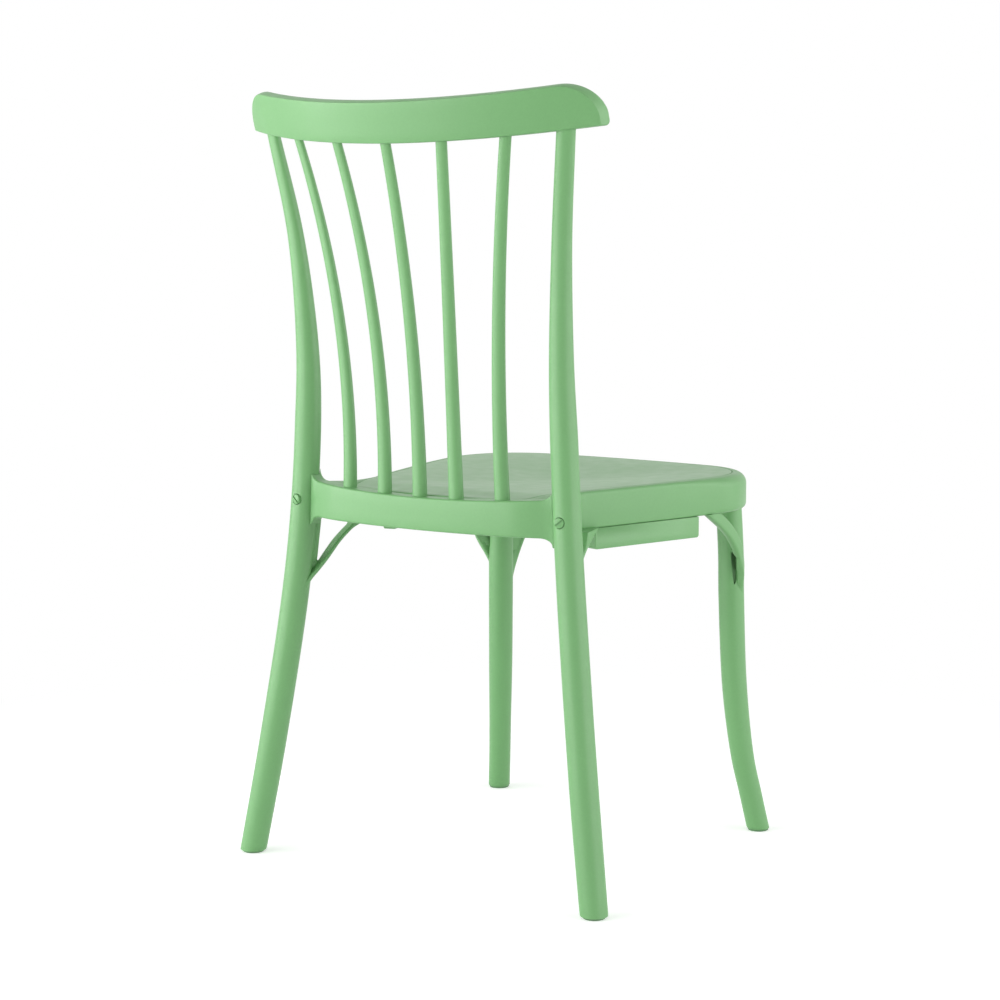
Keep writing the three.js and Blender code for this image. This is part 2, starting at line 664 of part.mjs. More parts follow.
// Uprights, before they are cut to length against the rails.
const rear = legCurves(REAR_LEG_STATIONS);
const rearLegBlank = uprightMember(rear.path, rear.halfWidths, LEG_SIDES, REAR_LEG_STEPS);
const front = legCurves(FRONT_LEG_STATIONS);
const frontLegBlank = uprightMember(front.path, front.halfWidths, LEG_SIDES, FRONT_LEG_STEPS);

const crestSolid = crestBlank();
const crestBelow = crestSolid.translate([0, 0, -GAP]);
const railSolid = railBlank();
const railAbove = railSolid.translate([0, 0, GAP]);

// A leg grown by the fitting gap on all sides, for cutting its neighbours.
function grown(stations, steps) {
  const wider = stations.map(([x, y, z, a, b]) => [x, y, z, a + GAP, b + GAP]);
  const curves = legCurves(wider);
  return uprightMember(curves.path, curves.halfWidths, LEG_SIDES, steps);
}
const rearLegClearance = grown(REAR_LEG_STATIONS, REAR_LEG_STEPS);
const frontLegClearance = grown(FRONT_LEG_STATIONS, FRONT_LEG_STEPS);

// Posts into the crest.
const postEnd = rear.path(1);
postEnd.z = crestUnderside(postEnd.x);
const postTenon = [postEnd, rear.tangent(1), POST_TENON_RADIUS];
const postOffcut = toSolid(
  new THREE.BoxGeometry(80, 80, 40).translate(postEnd.x, postEnd.y, postEnd.z + 20 - GAP),
);

// Dowels from the rear rail into the rear legs, above and below the screw.
function railDowels(extra) {
  const [low, high] = RAIL_DOWEL_HEIGHTS.map((z) => rod(
    point(150, 158, z), point(178 + extra, 158, z), RAIL_DOWEL_RADIUS + extra, 12,
  ));
  return low.add(high);
}

// Rear legs, with their post on top.
const rearGlide = [REAR_LEG_STATIONS[0][0], REAR_LEG_STATIONS[0][1]];
const frontGlide = [FRONT_LEG_STATIONS[0][0], FRONT_LEG_STATIONS[0][1]];
const glideHole = ([x, y]) => (
  rod(point(x, y, FLOOR_Z), point(x, y, FLOOR_Z + GLIDE_STEM_TOP + GAP), GLIDE_STEM_RADIUS + GAP, 16)
);
const rearLeg = rearLegBlank
  .subtract(crestBelow)
  .subtract(postOffcut)
  .add(tenon(...postTenon))
  .subtract(railDowels(GAP))
  .subtract(screwRoom())
  .subtract(glideHole(rearGlide));
addPair('rear_leg', rearLeg, green);

// Front legs, each with a round tenon up into the seat frame.
const legTop = point(FRONT_LEG_TOP.x, FRONT_LEG_TOP.y, SEAT_BOTTOM - 12);
const legTenonTop = point(FRONT_LEG_TOP.x, FRONT_LEG_TOP.y, LEG_TENON_TOP);
const frontLeg = frontLegBlank
  .add(rod(legTop, legTenonTop, LEG_TENON_RADIUS))
  .subtract(glideHole(frontGlide));
addPair('front_leg', frontLeg, green);

// Spindles, numbered from the sitter's left, with the mortises that they need.
const spindleSet = [
  spindleParts(SPINDLES[2], 1),
  spindleParts(SPINDLES[1], 1),
  spindleParts(SPINDLES[0], 1),
  spindleParts(SPINDLES[1], -1),
  spindleParts(SPINDLES[2], -1),
];
let crest = crestSolid.subtract(bothSides(tenon(...postTenon, GAP)));
let rail = railSolid
  .subtract(bothSides(rearLegClearance))
  .subtract(bothSides(screwRoom()))
  .add(bothSides(railDowels(0)));
spindleSet.forEach(({ body, tops, feet }, index) => {
  const spindle = body
    .subtract(crestBelow)
    .subtract(railAbove)
    .add(tenon(...tops))
    .add(tenon(...feet));
  crest = crest.subtract(tenon(...tops, GAP));
  rail = rail.subtract(tenon(...feet, GAP));
  addPiece(`spindle_${index + 1}`, spindle, green);
});
addPiece('crest_rail', crest, green);
addPiece('rear_rail', rail, green);

// Seat frame: leg mortises, and seats and screw holes for the rear legs.
const legMortise = rod(legTop, legTenonTop.clone().add(point(0, 0, GAP)), LEG_TENON_RADIUS + GAP);
const seatFrame = seatRing()
  .add(bothSides(seatEar().subtract(panelRoom())))
  .subtract(bothSides(legMortise))
  .subtract(bothSides(rearLegClearance))
  .subtract(bothSides(screwRoom()));
addPiece('seat_frame', seatFrame, green);
addPiece('seat_panel', seatPanel(), seatGreen);

// Braces end against the underside of the seat frame and in the legs' sides.
const aboveSeatBottom = toSolid(
  new THREE.BoxGeometry(600, 700, 100).translate(0, 0, SEAT_BOTTOM - GAP + 50),
);
const rearBrace = braceBand(REAR_BRACE_AXIS, -1, -1, REAR_BRACE_POINTS, REAR_BRACE_SIZE, 14)
  .add(braceBand(REAR_BRACE_AXIS, -1, -1, REAR_BRACE_ARM_POINTS, REAR_BRACE_ARM_SIZE, 4));
const sideBrace = braceBand(FRONT_LEG_TOP, 1, 1, SIDE_BRACE_POINTS, FRONT_BRACE_SIZE, 11);
const frontBrace = braceBand(FRONT_LEG_TOP, -1, -1, FRONT_BRACE_POINTS, FRONT_BRACE_SIZE, 11);
const besidePlank = toSolid( // the rear brace stops against the end of the stacking rail
  new THREE.BoxGeometry(600, 300, 100).translate(0, SIDE_POINT.y + GAP - 150, SEAT_BOTTOM - 50),
);
const rearBraceRoom = aboveSeatBottom.add(besidePlank).add(rearLegClearance).add(railBlank(GAP));
addPair('rear_brace', rearBrace.subtract(rearBraceRoom), green);
addPair('side_brace', sideBrace.subtract(aboveSeatBottom).subtract(frontLegClearance), green);
addPair('front_brace', frontBrace.subtract(aboveSeatBottom).subtract(frontLegClearance), green);
addPair('stacking_rail', stackingRail(), green);

addPair('frame_screw', frameScrew(), paintedSteel);
addPair('rear_glide', footGlide(...rearGlide), glidePlastic);
addPair('front_glide', footGlide(...frontGlide), glidePlastic);

// ---- The chair ------------------------------------------------------------------------

// The drawing above is moved so that the origin is on the floor, under the chair's middle.
const chair = new THREE.Group();
const bounds = new THREE.Box3();
for (const [name, solid] of pieces) {
  const mesh = new THREE.Mesh(toGeometry(solid), material.get(name).clone());
  mesh.name = name;
  chair.add(mesh);
  bounds.expandByObject(mesh);
}
for (const mesh of chair.children) {
  mesh.geometry.translate(0, -(bounds.min.y + bounds.max.y) / 2, -bounds.min.z);
}

export default chair;
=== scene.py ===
# The looks of the stacking chair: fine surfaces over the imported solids, moulded-plastic
# finishes, studio floor, light and camera, all in metres in the part's own frame.
import math

import bmesh
import bpy
import numpy as np
from mathutils import Euler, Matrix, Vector


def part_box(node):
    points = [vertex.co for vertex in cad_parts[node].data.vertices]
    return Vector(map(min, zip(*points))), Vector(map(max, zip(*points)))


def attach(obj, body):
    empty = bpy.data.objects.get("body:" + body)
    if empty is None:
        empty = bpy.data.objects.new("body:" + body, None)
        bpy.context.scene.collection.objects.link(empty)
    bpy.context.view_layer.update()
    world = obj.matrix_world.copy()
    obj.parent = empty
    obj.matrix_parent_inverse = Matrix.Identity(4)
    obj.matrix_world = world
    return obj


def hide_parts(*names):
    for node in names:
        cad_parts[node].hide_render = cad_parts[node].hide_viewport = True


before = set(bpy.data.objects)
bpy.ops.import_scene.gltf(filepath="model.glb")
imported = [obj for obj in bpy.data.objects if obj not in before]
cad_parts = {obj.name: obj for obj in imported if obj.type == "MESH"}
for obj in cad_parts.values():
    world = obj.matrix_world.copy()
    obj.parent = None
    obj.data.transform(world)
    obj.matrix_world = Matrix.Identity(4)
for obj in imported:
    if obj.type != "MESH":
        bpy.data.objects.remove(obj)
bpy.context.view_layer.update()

# The dimensions below are in millimetres in the drawing's frame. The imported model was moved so
# that its origin is on the floor under its middle, so the shift is read from its own boxes.
FRONT_Y = -258.0
FLOOR_Z = -5.2
SHIFT_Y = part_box("seat_frame")[0].y * 1000 - FRONT_Y
SHIFT_Z = -FLOOR_Z

BOTTOM = 391.0  # the underside of the seat
GAP = 0.3  # the clearance at a joint
SIDES = ((1, "left"), (-1, "right"))


def to_frame(points):
    p = np.asarray(points, float).reshape(-1, 3).copy()
    p[:, 1] += SHIFT_Y
    p[:, 2] += SHIFT_Z
    return p / 1000.0


# ---- Curves ---------------------------------------------------------------------------

def smoothstep(x, a, b):
    t = min(max((x - a) / (b - a), 0.0), 1.0)
    return t * t * (3 - 2 * t)


def lerp(a, b, t):
    return a + (b - a) * t


def between(a, b, count):
    """The points that part the line from a to b into count + 1 equal steps."""
    return [(lerp(a[0], b[0], k / (count + 1)), lerp(a[1], b[1], k / (count + 1))) for k in range(1, count + 1)]


def arc(centre, radius, start, end, steps):
    angles = np.radians(np.linspace(start, end, steps))
    return [(centre[0] + radius * math.cos(a), centre[1] + radius * math.sin(a)) for a in angles]


def spline(points, t):
    """A centripetal Catmull-Rom curve through the points, t from 0 to 1."""
    pts = [np.array(p, float) for p in points]
    last = len(pts) - 1
    place = last * min(max(t, 0.0), 1.0)
    i = min(int(place), last - 1)
    w = place - i
    p1, p2 = pts[i], pts[i + 1]
    p0 = pts[i - 1] if i > 0 else 2 * pts[0] - pts[1]
    p3 = pts[i + 2] if i + 2 <= last else 2 * pts[-1] - pts[-2]
    d0, d1, d2 = (math.sqrt(np.linalg.norm(b - a)) for a, b in ((p0, p1), (p1, p2), (p2, p3)))
    d1 = d1 if d1 > 1e-4 else 1.0
    d0 = d0 if d0 > 1e-4 else d1
    d2 = d2 if d2 > 1e-4 else d1
    m1 = ((p1 - p0) / d0 - (p2 - p0) / (d0 + d1) + (p2 - p1) / d1) * d1
    m2 = ((p2 - p1) / d1 - (p3 - p1) / (d1 + d2) + (p3 - p2) / d2) * d1
    return p1 + m1 * w + (-3 * p1 + 3 * p2 - 2 * m1 - m2) * w ** 2 + (2 * p1 - 2 * p2 + m1 + m2) * w ** 3


def bezier(a, b, c, t):
    return (1 - t) ** 2 * np.array(a, float) + 2 * t * (1 - t) * np.array(b, float) + t * t * np.array(c, float)


def rounded_rectangle(left, right, bottom, top, radius, steps, top_right=None, fill=0):
    """Closed outline of [across, up] points, with fill extra points along each side."""
    limit = min(right - left, top - bottom) / 2.01
    small = min(radius, limit)
    large = min(radius if top_right is None else top_right, limit)
    corners = [
        (right - small, bottom + small, -90, small),
        (right - large, top - large, 0, large),
        (left + small, top - small, 90, small),
        (left + small, bottom + small, 180, small),
    ]
    out = []
    for cx, cy, start, r in corners:
        turn = []
        for k in range(steps + 1):
            angle = math.radians(start + 90 * k / steps)
            turn.append((cx + r * math.cos(angle), cy + r * math.sin(angle)))
        if out:
            out += between(out[-1], turn[0], fill)
        out += turn
    return out + between(out[-1], out[0], fill)


def level_and_upper(direction):
    """The level and the upward direction square to a direction."""
    level = np.cross(direction, (0, 0, 1))
    level /= np.linalg.norm(level)
    return level, np.cross(level, direction)


def mirrored(rings):
    return [[(-p[0], p[1], p[2]) for p in ring] for ring in rings]


def sided(rings, side):
    return rings if side > 0 else mirrored(rings)


# ---- Meshes ---------------------------------------------------------------------------

def skin(rings, closed=False):
    """Vertices and faces of a loft through rings, with flat ends unless it is closed."""
    count = len(rings[0])
    points = [p for ring in rings for p in ring]
    faces = []
    steps = len(rings) if closed else len(rings) - 1
    for r in range(steps):
        a, b = r * count, ((r + 1) % len(rings)) * count
        for i in range(count):
            j = (i + 1) % count
            faces.append((a + i, a + j, b + j, b + i))
    if not closed:
        faces.append(tuple(range(count))[::-1])
        faces.append(tuple(range(len(points) - count, len(points))))
    return points, faces


def new_object(name, points, faces, angle=40):
    mesh = bpy.data.meshes.new(name)
    mesh.from_pydata([tuple(p) for p in to_frame(points)], [], [tuple(f) for f in faces])
    mesh.validate()
    piece = bpy.data.objects.new(name, mesh)
    bpy.context.scene.collection.objects.link(piece)
    fix_normals(mesh, angle)
    return piece


def fix_normals(mesh, angle):
    bm = bmesh.new()
    bm.from_mesh(mesh)
    bmesh.ops.recalc_face_normals(bm, faces=bm.faces)
    if bm.calc_volume(signed=True) < 0:
        bmesh.ops.reverse_faces(bm, faces=bm.faces)
    bm.to_mesh(mesh)
    bm.free()
    mesh.shade_smooth()
    mesh.set_sharp_from_angle(angle=math.radians(angle))


def apply_modifiers(piece, angle):
    bpy.context.view_layer.update()
    graph = bpy.context.evaluated_depsgraph_get()
    mesh = bpy.data.meshes.new_from_object(piece.evaluated_get(graph))
    piece.modifiers.clear()
    old = piece.data
    piece.data = mesh
    bpy.data.meshes.remove(old)
    mesh.name = piece.name
    fix_normals(mesh, angle)


def cut(piece, *cutters, operation="DIFFERENCE", angle=40):
    for tool in cutters:
        modifier = piece.modifiers.new("cut", "BOOLEAN")
        modifier.operation = operation
        modifier.solver = "EXACT"
        modifier.object = tool
    apply_modifiers(piece, angle)


def discard(*objects):
    for o in objects:
        bpy.data.objects.remove(o)


def dress(piece, node, material):
    piece.data.materials.clear()
    piece.data.materials.append(material)
    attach(piece, "root")
    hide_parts(node)


def dress_green(piece, node):
    dress(piece, node, frame_plastic)


def both(name, rings, angle=40):
    return [new_object(f"{name}_{word}_fine", *skin(sided(rings, side)), angle) for side, word in SIDES]


# ---- Finishes -------------------------------------------------------------------------

def plastic(name, colour, roughness, grain=1.0, tone=0.02, flow=0.025, shine=0.5):
    """Satin moulded plastic: a faint mottle, a fine spark-eroded grain and a slight flow wave."""
    material = bpy.data.materials.new(name)
    material.use_nodes = True
    nodes, links = material.node_tree.nodes, material.node_tree.links
    shader = nodes["Principled BSDF"]
    shader.inputs["IOR"].default_value = 1.49
    shader.inputs["Specular IOR Level"].default_value = shine
    place = nodes.new("ShaderNodeTexCoord")

    def noise(scale, detail, rough=0.5):
        n = nodes.new("ShaderNodeTexNoise")
        n.inputs["Scale"].default_value = scale
        n.inputs["Detail"].default_value = detail
        n.inputs["Roughness"].default_value = rough
        links.new(place.outputs["Object"], n.inputs["Vector"])
        return n.outputs["Fac"]

    def ramp(value, dark_from, light_from, dark, light):
        n = nodes.new("ShaderNodeValToRGB")
        first, second = n.color_ramp.elements
        first.position, second.position = dark_from, light_from
        first.color, second.color = (*dark, 1), (*light, 1)
        links.new(value, n.inputs["Fac"])
        return n.outputs["Color"]

    def bump(height, strength, distance, under=None):
        n = nodes.new("ShaderNodeBump")
        n.inputs["Strength"].default_value = strength
        n.inputs["Distance"].default_value = distance
        links.new(height, n.inputs["Height"])
        if under:
            links.new(under, n.inputs["Normal"])
        return n.outputs["Normal"]

    darker = [c * (1 - tone) for c in colour]
    lighter = [min(c * (1 + tone), 1) for c in colour]
    speck = 1 - 0.035 * grain
    tint = nodes.new("ShaderNodeMix")
    tint.data_type = "RGBA"
    tint.blend_type = "MULTIPLY"
    tint.inputs["Factor"].default_value = 1.0
    links.new(ramp(noise(7.0, 3.0), 0.32, 0.68, darker, lighter), tint.inputs["A"])
    links.new(ramp(noise(420.0, 2.0, 0.6), 0.35, 0.65, (speck,) * 3, (1, 1, 1)), tint.inputs["B"])
    links.new(tint.outputs["Result"], shader.inputs["Base Color"])

    spread = nodes.new("ShaderNodeMapRange")
    spread.inputs["From Min"].default_value = 0.3
    spread.inputs["From Max"].default_value = 0.7
    spread.inputs["To Min"].default_value = roughness - 0.03
    spread.inputs["To Max"].default_value = roughness + 0.04
    links.new(noise(55.0, 2.0), spread.inputs["Value"])
    links.new(spread.outputs["Result"], shader.inputs["Roughness"])

    fine = bump(noise(1500.0, 2.0), 0.10 * grain, 0.0002)
    links.new(bump(noise(24.0, 1.0), flow, 0.001, fine), shader.inputs["Normal"])
    return material


GREEN = (0.168, 0.400, 0.151)
frame_plastic = plastic("frame_plastic", GREEN, 0.40, shine=0.56)
seat_plastic = plastic("seat_plastic", GREEN, 0.34, grain=0.8, flow=0.01, shine=0.6)
screw_paint = plastic("screw_paint", GREEN, 0.36, grain=0.5)
glide_plastic = plastic("glide_plastic", (0.12, 0.26, 0.12), 0.6)

# ---- Crest rail -----------------------------------------------------------------------

# Offsets run from the middle surface to the back. That surface has its radius and its apex at
# the datum height, and leans back above it. Smiles are the radii of the upper and lower edges.
CREST = {
    "radius": 404, "datum": 821.5, "apex": 240.5, "lean": 0.25, "front": -8.5, "back": 7.63,
    "top": 858.1, "top_smile": 1420, "under": 812, "under_smile": 1575, "half": 234.5, "corner": 38,
    "top_edge": 2.8, "low_edge": 6.0, "low_edge_end": 6.6, "low_edge_blend": (25, 5),
    "crisp": 0.9, "low_crisp": 1.2, "band_radius": 35.0, "band_start": 64,
    "end_front": 2.2, "end_back": 0.75, "end_blend": (1.0, 9.0),
}


def crest_under(x):
    return CREST["under"] + x * x / (2 * CREST["under_smile"])


def crest_y(x, z, offset):
    radius = CREST["radius"] + CREST["lean"] * (z - CREST["datum"]) + offset
    return CREST["apex"] - CREST["radius"] + math.sqrt(radius * radius - x * x)


def crest_outline(low, high, low_edge):
    """Section [offset, height]: crisp behind, under a top that slopes back, and soft in front."""
    c = CREST
    back, front, crisp, band, top_edge = c["back"], c["front"], c["crisp"], c["band_radius"], c["top_edge"]
    start = math.radians(c["band_start"])
    hub_x = back - crisp - (band - crisp) * math.cos(start)
    meet = math.acos((front + top_edge - hub_x) / (band - top_edge))
    hub_z = high - top_edge - (band - top_edge) * math.sin(meet)
    ridge = (back - crisp, hub_z + (band - crisp) * math.sin(start))
    nose = (front + top_edge, high - top_edge)
    lower_back = arc((back - c["low_crisp"], low + c["low_crisp"]), c["low_crisp"], -90, 0, 5)
    upper_back = arc(ridge, crisp, 0, c["band_start"], 6)
    sloped = arc((hub_x, hub_z), band, c["band_start"], math.degrees(meet), 9)[1:]
    upper_front = arc(nose, top_edge, math.degrees(meet), 180, 9)[1:]
    lower_front = arc((front + low_edge, low + low_edge), low_edge, 180, 270, 10)
    face = between(lower_back[-1], upper_back[0], 3)
    inner = between(upper_front[-1], lower_front[0], 3)
    return np.array(lower_back + face + upper_back + sloped + upper_front + inner + lower_front)


def crest_ring(x):
    c = CREST
    over = max(abs(x) - (c["half"] - c["corner"]), 0.0)
    fall = math.sqrt(max(c["corner"] ** 2 - over ** 2, 0.0))
    low = crest_under(x)
    high = c["top"] + x * x / (2 * c["top_smile"]) - (c["corner"] - fall)
    blend_from, blend_to = (c["half"] - d for d in c["low_edge_blend"])
    low_edge = lerp(c["low_edge"], c["low_edge_end"], smoothstep(abs(x), blend_from, blend_to))
    outline = crest_outline(low, high, low_edge)

    def rounding(radius):
        into = max(abs(x) - (c["half"] - radius), 0.0)
        return radius - math.sqrt(max(radius ** 2 - into ** 2, 0.0))

    # The end is rounded over: softly in front and hardly at all behind.
    along = np.roll(outline, -1, axis=0) - np.roll(outline, 1, axis=0)
    outward = np.stack([along[:, 1], -along[:, 0]], axis=1)
    outward /= np.linalg.norm(outward, axis=1)[:, None]
    outward[:, 1] = np.where(outward[:, 1] > 0, outward[:, 1] * fall / c["corner"], outward[:, 1])
    blend_start, blend_length = c["end_blend"]
    share = np.clip((c["back"] - blend_start - outline[:, 0]) / blend_length, 0, 1)
    inset = lerp(rounding(c["end_back"]), rounding(c["end_front"]), share)
    outline = outline - outward * inset[:, None]
    return [(x, crest_y(x, z, o), z) for o, z in outline]


def crest_rings():
    """Rings even along the straight part, and ever closer round the corner and over the end."""
    c = CREST
    straight = c["half"] - c["corner"]
    xs = [straight * k / 44 for k in range(44)]
    xs += [straight + c["corner"] * math.sin(math.radians(a)) for a in np.linspace(0, 66, 20)]
    xs += [c["half"] - c["end_front"] * (1 - math.sin(math.radians(a)))
           for a in (20, 30, 38, 45, 52, 58, 64, 70, 75, 80, 85, 90)]
    left = [crest_ring(x) for x in xs]
    return mirrored(left[1:])[::-1] + left


# ---- Legs and spindles ----------------------------------------------------------------

# Stations: x, y, z, then half the width across and through.
REAR_LEG = [
    (238.6, 190.2, -3.2, 15.4, 15.4), (217.2, 178.2, 127, 15.9, 15.9), (193.3, 164.2, 297, 15.7, 15.7),
    (183.0, 159.4, 397, 15.4, 15.4), (176.6, 158.0, 498, 15.1, 15.1), (174.4, 160.2, 583, 13.4, 13.0),
    (181.4, 170.4, 710, 11.0, 9.0), (198.6, 188.4, 829, 10.2, 6.6),
]
FRONT_LEG = [
    (192.3, -240.0, -3.2, 13.7, 13.7), (185.4, -231.8, 42, 13.7, 13.7), (179.1, -223.7, 85, 13.9, 13.9),
    (172.1, -215.0, 170, 14.9, 14.9), (168.6, -210.6, 280, 15.3, 15.3), (167.7, -209.8, 335, 15.3, 15.3),
    (165.4, -207.6, BOTTOM - GAP, 15.3, 15.3),
]
FRONT_LEG_END = ((165.3, -207.5, BOTTOM + 2.5), 15.3, 15.3)  # just inside the seat frame
FOOT_ROUNDING = ((0.0, 1.6), (0.35, 0.75), (0.9, 0.2))  # height, and how much narrower
FOOT_HEIGHT = 2.0
LEG_JOINT = 0.45  # the width of the joint line between a rear leg and what meets it


def back_angle(x):
    return -math.asin(x / CREST["radius"])


def oval(centre, across, through, sides=48):
    turn = back_angle(centre[0])
    ring = []
    for i in range(sides):
        a = 2 * math.pi * i / sides
        u, v = across * math.cos(a), through * math.sin(a)
        ring.append((centre[0] + u * math.cos(turn) - v * math.sin(turn),
                     centre[1] + u * math.sin(turn) + v * math.cos(turn), centre[2]))
    return ring


def leg_rings(stations, steps, grow=0.0, foot=True):
    centres = [s[:3] for s in stations]
    widths = [(s[3], s[4], 0) for s in stations]
    rings = []
    for k in range(steps + 1):
        t = k / steps
        c = spline(centres, t)
        a, b, _ = spline(widths, t)
        if foot and k == 0:
            rings += [oval((c[0], c[1], c[2] + rise), a - less, b - less) for rise, less in FOOT_ROUNDING]
        elif not foot or c[2] >= stations[0][2] + FOOT_HEIGHT:
            rings.append(oval(c, a + grow, b + grow))
    return rings


# For half of the back, from the middle: where the foot and the head stand, and the bow between them.
SPINDLES = [
    ((0, 179.4), (0, 241.2), (0, 3.5)),
    ((49.4, 178.9), (71.8, 235.3), (-6, 3.4)),
    ((105.4, 170.7), (141, 215), (-9.7, 3.7)),
]
SPINDLE_ORDER = [(2, 1), (1, 1), (0, 1), (1, -1), (2, -1)]
SPINDLE_ACROSS, SPINDLE_THROUGH = (8.7, 6.5), (7.3, 4.1)  # half widths at foot and head
SPINDLE_TENON = 4.0
FOOT_Z, HEAD_Z = 426.0, 824.0


def spindle_rings(foot, head, bow, steps=90):
    start = (foot[0], foot[1], FOOT_Z)
    end = (head[0], head[1], HEAD_Z)
    control = (foot[0] + bow[0], foot[1] + bow[1], (FOOT_Z + HEAD_Z) / 2)
    rings = []
    for k in range(steps + 1):
        t = k / steps
        c = bezier(start, control, end, t)
        if c[2] > crest_under(c[0]) + SPINDLE_TENON:
            break
        taper = t ** 0.8
        rings.append(oval(c, lerp(*SPINDLE_ACROSS, taper), lerp(*SPINDLE_THROUGH, taper), 36))
    return rings


# ---- Rear rail ------------------------------------------------------------------------

RAIL = {
    "radius": 620, "apex": 182.8, "front": -11.5, "back": 9.5, "back_legs": 5.5, "taper": (118, 164),
    "bottom": 392.6, "top": 429, "rise": 2450, "edge": 2.4, "flare_start": 152, "flare_up": 12,
    "flare_down": 10, "flare_length": 15, "ends": [172, 177],
}


def rail_ring(x):
    r = RAIL
    into = min(max((abs(x) - r["flare_start"]) / r["flare_length"], 0), 1)
    flare = 1 - math.sqrt(1 - into * into)
    back = lerp(r["back"], r["back_legs"], smoothstep(abs(x), *r["taper"]))
    top = r["top"] + x * x / (2 * r["rise"]) + r["flare_up"] * flare
    bottom = r["bottom"] - r["flare_down"] * flare
    outline = rounded_rectangle(r["front"], back, bottom, top, r["edge"], 5, fill=2)
    ring = []
    for offset, z in outline:
        radius = r["radius"] + offset
        ring.append((x, r["apex"] - r["radius"] + math.sqrt(radius * radius - x * x), z))
    return ring


def rail_rings():
    r = RAIL
    xs = [r["flare_start"] * k / 40 for k in range(40)]
    xs += [r["flare_start"] + r["flare_length"] * math.sin(math.radians(a)) for a in np.linspace(0, 90, 22)]
    left = [rail_ring(x) for x in xs + r["ends"]]
    return mirrored(left[1:])[::-1] + left


# ---- Seat -----------------------------------------------------------------------------

SEAT_TOP, REAR_DROP = 433.0, 3.5
CENTRE = np.array([0.0, -60.0])
SIDE_POINT = np.array([149.2, 55.0])  # a point of the straight side, which splays forwards
SPLAY = 0.268
CORNER_RADIUS = 95.0
BOW_RADIUS = 1270.0
PANEL_CORNER = 16.0  # how far the rear corner of the panel is rounded over
SIDE_EDGE, FRONT_EDGE, EAR_EDGE = 4.4, 13.0, 3.0  # rounding of the frame's upper edge
SIDE_UNDER, FRONT_UNDER = 2.4, 6.5  # rounding of its lower edge
SEAM_IN, SEAM_WIDTH = 3.6, 0.7
RIM_WIDTH, RIM_LIP = 26.0, 8.5  # how far the frame goes on under the panel, and how deep
PANEL_THICKNESS, DISH = 7.6, 8.0

# The ear of the frame, from the rear rail round its tip and back to the straight side.
EAR_START, EAR_CORNER, EAR_TIP = 175.0, (181.0, 139.5), (176.0, 132.4)
EAR_FLARE, EAR_CURVE, EAR_Y = (159.7, 119.2), (136.6, 100.4), 71.0
EAR_TOP, EAR_SLOPE, EAR_SOFTENING = 429.8, (66, 104), (60, 110)
SEAM_SPLIT = 118


def seat_top(y):
    """The height of the panel's edge, which drops a little towards the back."""
    return SEAT_TOP - REAR_DROP * smoothstep(y, 110, 158)


def front_share(y):
    """1 round the front of the seat and 0 along its sides."""
    return 1 - smoothstep(y, -180, -60)


def edge_radius(y):
    return lerp(SIDE_EDGE, FRONT_EDGE, front_share(y))


def side_x(y):
    return SIDE_POINT[0] + SPLAY * (SIDE_POINT[1] - y)


def rail_front_y(x):
    radius = RAIL["radius"] + RAIL["front"] - GAP
    return RAIL["apex"] - RAIL["radius"] + math.sqrt(radius ** 2 - x * x)


def rail_front(end, steps):
    """Points along the rear rail's front face, from the middle to an end."""
    return [np.array([end * k / steps, rail_front_y(end * k / steps)]) for k in range(steps + 1)]


def front_part(corner_steps=56, front_steps=40):
    """Outline from the end of the straight side, round the corner, to the middle of the front."""
    side = np.array([SPLAY, -1.0]) / math.hypot(SPLAY, 1)
    outward = np.array([1.0, SPLAY]) / math.hypot(SPLAY, 1)
    centre = np.array([0.0, FRONT_Y + BOW_RADIUS])
    inset = SIDE_POINT - outward * CORNER_RADIUS
    offset = inset - centre
    along = float(offset @ side)
    reach = BOW_RADIUS - CORNER_RADIUS
    travel = -along + math.sqrt(along ** 2 - float(offset @ offset) + reach ** 2)
    middle = inset + side * travel
    a0 = math.atan2(outward[1], outward[0])
    d = middle - centre
    a1 = math.atan2(d[1], d[0])
    corner = [middle + CORNER_RADIUS * np.array([math.cos(a), math.sin(a)])
              for a in np.linspace(a0, a1, corner_steps)]
    front = [centre + BOW_RADIUS * np.array([math.cos(a), math.sin(a)])
             for a in np.linspace(a1, -math.pi / 2, front_steps)]
    return corner, front[1:]


def panel_half(rear_steps=36, side_steps=60):
    """The plain outline, without ears, that the seam follows; from back to front."""
    x0 = side_x(rail_front_y(side_x(RAIL["apex"])))
    corner0 = np.array([x0, rail_front_y(x0)])
    side = np.array([SPLAY, -1.0]) / math.hypot(SPLAY, 1)
    rear = rail_front(x0 - PANEL_CORNER, rear_steps)
    curve = [bezier(rear[-1], corner0, corner0 + side * PANEL_CORNER, t) for t in np.linspace(0, 1, 16)]
    corner, front = front_part()
    straight = [lerp(curve[-1], corner[0], k / side_steps) for k in range(1, side_steps)]
    return rear + curve[1:] + straight + corner + front


def inset_point(p, distance):
    out = p - CENTRE
    return CENTRE + out * (1 - distance / np.linalg.norm(out))


def whole(half):
    return half + [np.array([-p[0], p[1]]) for p in half[1:-1]][::-1]


def resample(points, count):
    p = np.array(points)
    d = np.r_[0, np.cumsum(np.linalg.norm(np.diff(p, axis=0), axis=1))]
    s = np.linspace(0, d[-1], count)
    return [np.array([np.interp(v, d, p[:, 0]), np.interp(v, d, p[:, 1])]) for v in s]


